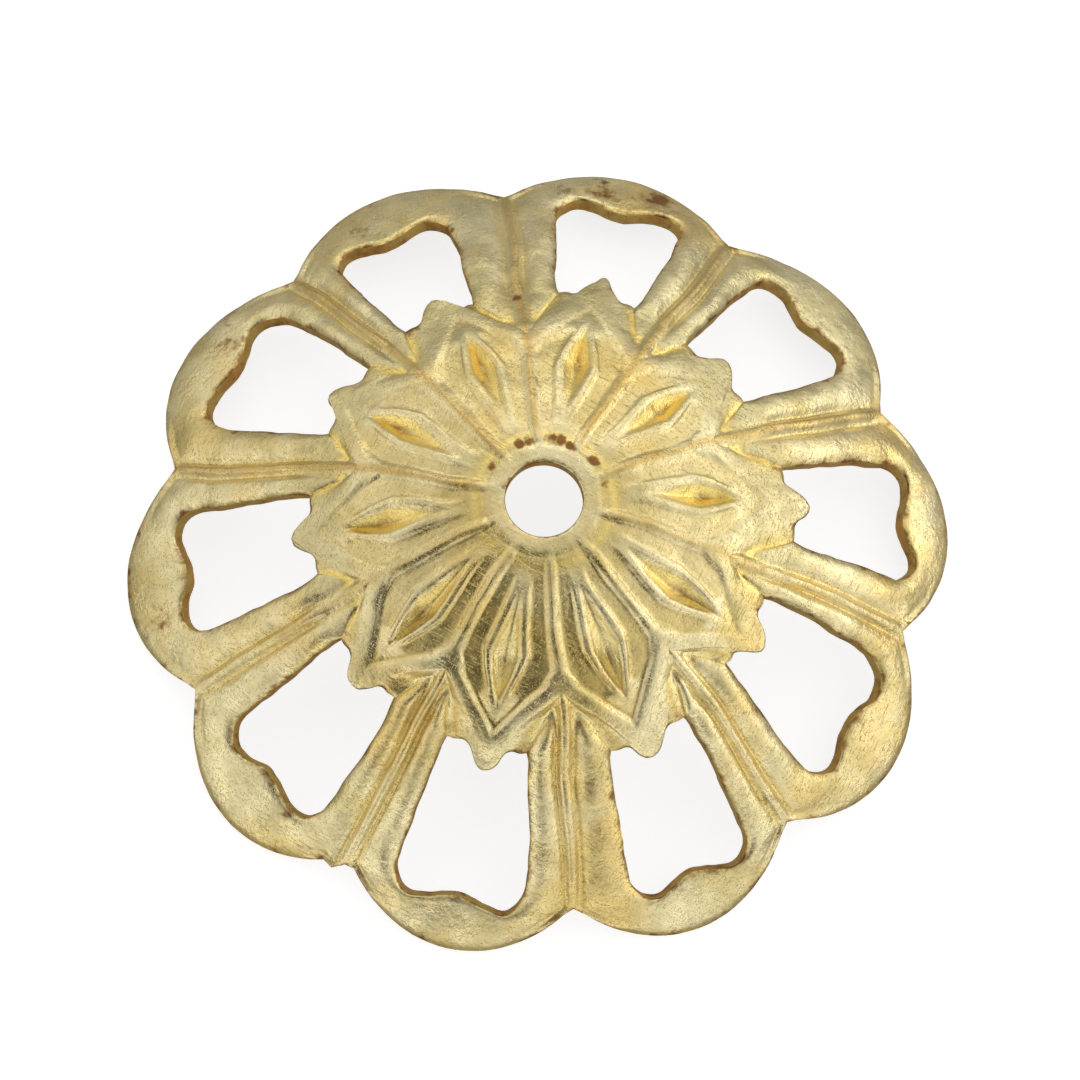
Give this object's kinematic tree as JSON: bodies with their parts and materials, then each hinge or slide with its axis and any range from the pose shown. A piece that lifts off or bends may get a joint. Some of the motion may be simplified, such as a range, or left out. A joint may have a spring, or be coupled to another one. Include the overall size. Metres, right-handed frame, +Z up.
{
  "type": "filigree flower bead cap",
  "caption": "Domed, pierced sheet brass bead cap shaped as a flower: looped petals round a leaf rosette with a threading hole.",
  "frame": {"origin": "on the threading hole's axis, in the plane that the petal tips rest on", "axes": "+Z up through the threading hole towards the outside of the dome; one petal points along +X"},
  "size_m": [0.015, 0.0144, 0.004],
  "materials": {
    "raw_brass": "unplated stamped brass, satin, pale olive gold with light tarnish and golden pits"
  },
  "bodies": {
    "root": {"bead_cap": "raw_brass"}
  },
  "joints": []
}
